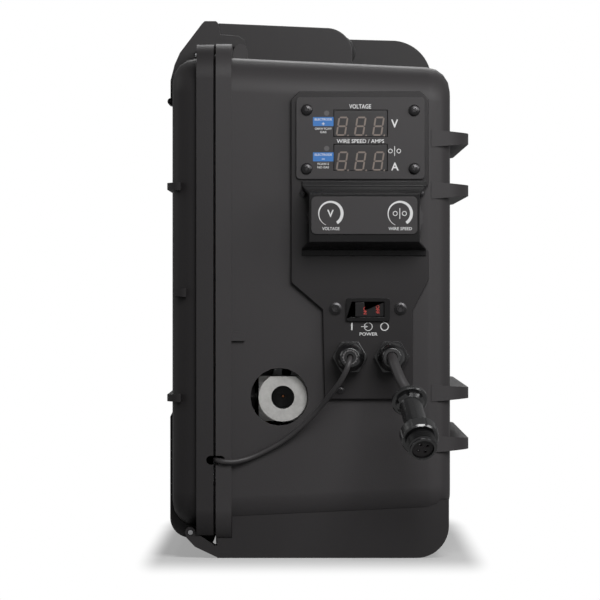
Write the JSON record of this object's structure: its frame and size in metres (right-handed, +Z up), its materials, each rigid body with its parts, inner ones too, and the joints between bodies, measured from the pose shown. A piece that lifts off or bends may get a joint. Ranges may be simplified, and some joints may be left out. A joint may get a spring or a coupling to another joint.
{
  "type": "portable wire feeder",
  "caption": "Portable suitcase-style welding wire feeder with a hinged side door, control panel, geared roll drive and enclosed wire spool.",
  "frame": {"origin": "centre of the underside of the bottom skid, on the surface that the feeder stands on", "axes": "+Z up, -Y towards the operator and the control panel, -X towards the door"},
  "size_m": [0.2255, 0.6629, 0.4015],
  "materials": {
    "case_plastic": "fine grained black polypropylene",
    "trim_plastic": "smooth satin black plastic",
    "panel_gloss": "gloss black moulded panel",
    "face_plate": "dark grey satin plate",
    "painted_steel": "black powder-coated steel",
    "steel": "bright machined steel",
    "aluminium": "cast and machined aluminium",
    "brass": "machined brass",
    "rubber": "black rubber",
    "red_plastic": "red moulded rocker",
    "display_lens": "smoked display lens",
    "circuit_board": "green circuit board and parts",
    "wire": "copper-coated steel welding wire",
    "reel_plastic": "moulded reel"
  },
  "bodies": {
    "case": {"body_shell": "case_plastic", "bottom_skid": "trim_plastic", "top_guard_front": "trim_plastic", "top_guard_rear": "trim_plastic", "front_panel": "panel_gloss", "meter_faceplate": "face_plate", "display_module": "display_lens", "knob_guard": "trim_plastic", "legend_plate": "face_plate", "voltage_potentiometer": "brass", "wire_speed_potentiometer": "brass", "power_switch_body": "trim_plastic", "sense_gland": "trim_plastic", "sense_gland_nut": "trim_plastic", "trigger_gland": "trim_plastic", "trigger_gland_nut": "trim_plastic", "sense_cable": "rubber", "sense_cable_coil": "rubber", "trigger_cable": "rubber", "trigger_socket_shell": "trim_plastic", "trigger_socket_ring": "trim_plastic", "trigger_socket_insert": "panel_gloss", "gun_receiver": "brass", "divider_panel": "painted_steel", "drive_plate": "aluminium", "inlet_guide": "brass", "middle_guide": "brass", "weld_wire": "wire", "drive_motor": "painted_steel", "spool_hub": "reel_plastic", "control_board": "circuit_board", "contactor": "trim_plastic", "gas_valve": "brass", "gas_hose": "rubber", "stud_collar": "trim_plastic", "weld_stud": "brass"},
    "door": {"door_shell": "case_plastic", "door_gasket": "rubber", "door_hinge_rail": "trim_plastic", "hinge_pin": "steel"},
    "front_latch": {"front_latch": "trim_plastic", "front_latch_pin": "steel"},
    "rear_latch": {"rear_latch": "trim_plastic", "rear_latch_pin": "steel"},
    "handle": {"carry_handle": "painted_steel", "handle_grip": "rubber"},
    "voltage_knob": {"voltage_knob": "trim_plastic"},
    "wire_speed_knob": {"wire_speed_knob": "trim_plastic"},
    "power_rocker": {"power_rocker": "red_plastic"},
    "gun_clamp_knob": {"gun_clamp_knob": "trim_plastic"},
    "drive_roll_front": {"drive_roll_front": "steel"},
    "drive_roll_rear": {"drive_roll_rear": "steel"},
    "drive_pinion": {"drive_pinion": "steel"},
    "pressure_arm": {"pressure_arm": "aluminium"},
    "tension_knob": {"tension_knob": "trim_plastic"},
    "pressure_roll_front": {"pressure_roll_front": "steel"},
    "pressure_roll_rear": {"pressure_roll_rear": "steel"},
    "spool": {"wire_spool": "reel_plastic", "wire_winding": "wire"},
    "spool_nut": {"spool_nut": "trim_plastic"}
  },
  "joints": [
    {"name": "door_hinge", "type": "hinge", "parent": "case", "child": "door", "pos_m": [-0.0909, 0, 0.0189], "axis": [0, -1, 0], "range_deg": [0, 88]},
    {"name": "front_latch_hinge", "type": "hinge", "parent": "door", "child": "front_latch", "pos_m": [-0.1075, -0.1408, 0.3405], "axis": [0, -1, 0], "range_deg": [0, 100]},
    {"name": "rear_latch_hinge", "type": "hinge", "parent": "door", "child": "rear_latch", "pos_m": [-0.1075, 0.1408, 0.3405], "axis": [0, -1, 0], "range_deg": [0, 100]},
    {"name": "handle_fold", "type": "hinge", "parent": "case", "child": "handle", "pos_m": [-0.036, 0, 0.384], "axis": [0, -1, 0], "range_deg": [0, 90]},
    {"name": "voltage_knob_turn", "type": "hinge", "parent": "case", "child": "voltage_knob", "pos_m": [0.013, -0.272, 0.2512], "axis": [0, -1, 0], "range_deg": [-135, 135]},
    {"name": "wire_speed_knob_turn", "type": "hinge", "parent": "case", "child": "wire_speed_knob", "pos_m": [0.0635, -0.272, 0.2512], "axis": [0, -1, 0], "range_deg": [-135, 135]},
    {"name": "rocker_tip", "type": "hinge", "parent": "case", "child": "power_rocker", "pos_m": [0.0404, -0.2593, 0.1838], "axis": [0, 0, 1], "range_deg": [-20, 0]},
    {"name": "gun_clamp_turn", "type": "hinge", "parent": "case", "child": "gun_clamp_knob", "pos_m": [-0.045, -0.22, 0.1188], "axis": [1, 0, 0], "range_deg": [0, 360]},
    {"name": "drive_roll_front_spin", "type": "hinge", "parent": "case", "child": "drive_roll_front", "pos_m": [-0.016, -0.166, 0.1023], "axis": [1, 0, 0], "continuous": true},
    {"name": "drive_roll_rear_spin", "type": "hinge", "parent": "case", "child": "drive_roll_rear", "pos_m": [-0.016, -0.126, 0.1023], "axis": [1, 0, 0], "continuous": true},
    {"name": "drive_pinion_spin", "type": "hinge", "parent": "case", "child": "drive_pinion", "pos_m": [-0.009, -0.146, 0.08648], "axis": [1, 0, 0], "continuous": true},
    {"name": "pressure_arm_lift", "type": "hinge", "parent": "case", "child": "pressure_arm", "pos_m": [-0.02, -0.098, 0.1483], "axis": [-1, 0, 0], "range_deg": [0, 50]},
    {"name": "tension_knob_turn", "type": "hinge", "parent": "pressure_arm", "child": "tension_knob", "pos_m": [-0.02, -0.193, 0.18], "axis": [0, 0, 1], "range_deg": [0, 360]},
    {"name": "pressure_roll_front_spin", "type": "hinge", "parent": "pressure_arm", "child": "pressure_roll_front", "pos_m": [-0.016, -0.166, 0.1353], "axis": [1, 0, 0], "continuous": true},
    {"name": "pressure_roll_rear_spin", "type": "hinge", "parent": "pressure_arm", "child": "pressure_roll_rear", "pos_m": [-0.016, -0.126, 0.1353], "axis": [1, 0, 0], "continuous": true},
    {"name": "spool_spin", "type": "hinge", "parent": "case", "child": "spool", "pos_m": [-0.045, 0.098, 0.195], "axis": [1, 0, 0], "continuous": true},
    {"name": "spool_nut_turn", "type": "hinge", "parent": "case", "child": "spool_nut", "pos_m": [-0.085, 0.098, 0.195], "axis": [1, 0, 0], "range_deg": [0, 360]}
  ],
  "couplings": [
    {"joint": "drive_roll_rear_spin", "follows": "drive_roll_front_spin", "ratio": 1},
    {"joint": "drive_pinion_spin", "follows": "drive_roll_front_spin", "ratio": -1.8333},
    {"joint": "pressure_roll_front_spin", "follows": "drive_roll_front_spin", "ratio": -1},
    {"joint": "pressure_roll_rear_spin", "follows": "drive_roll_front_spin", "ratio": -1}
  ]
}
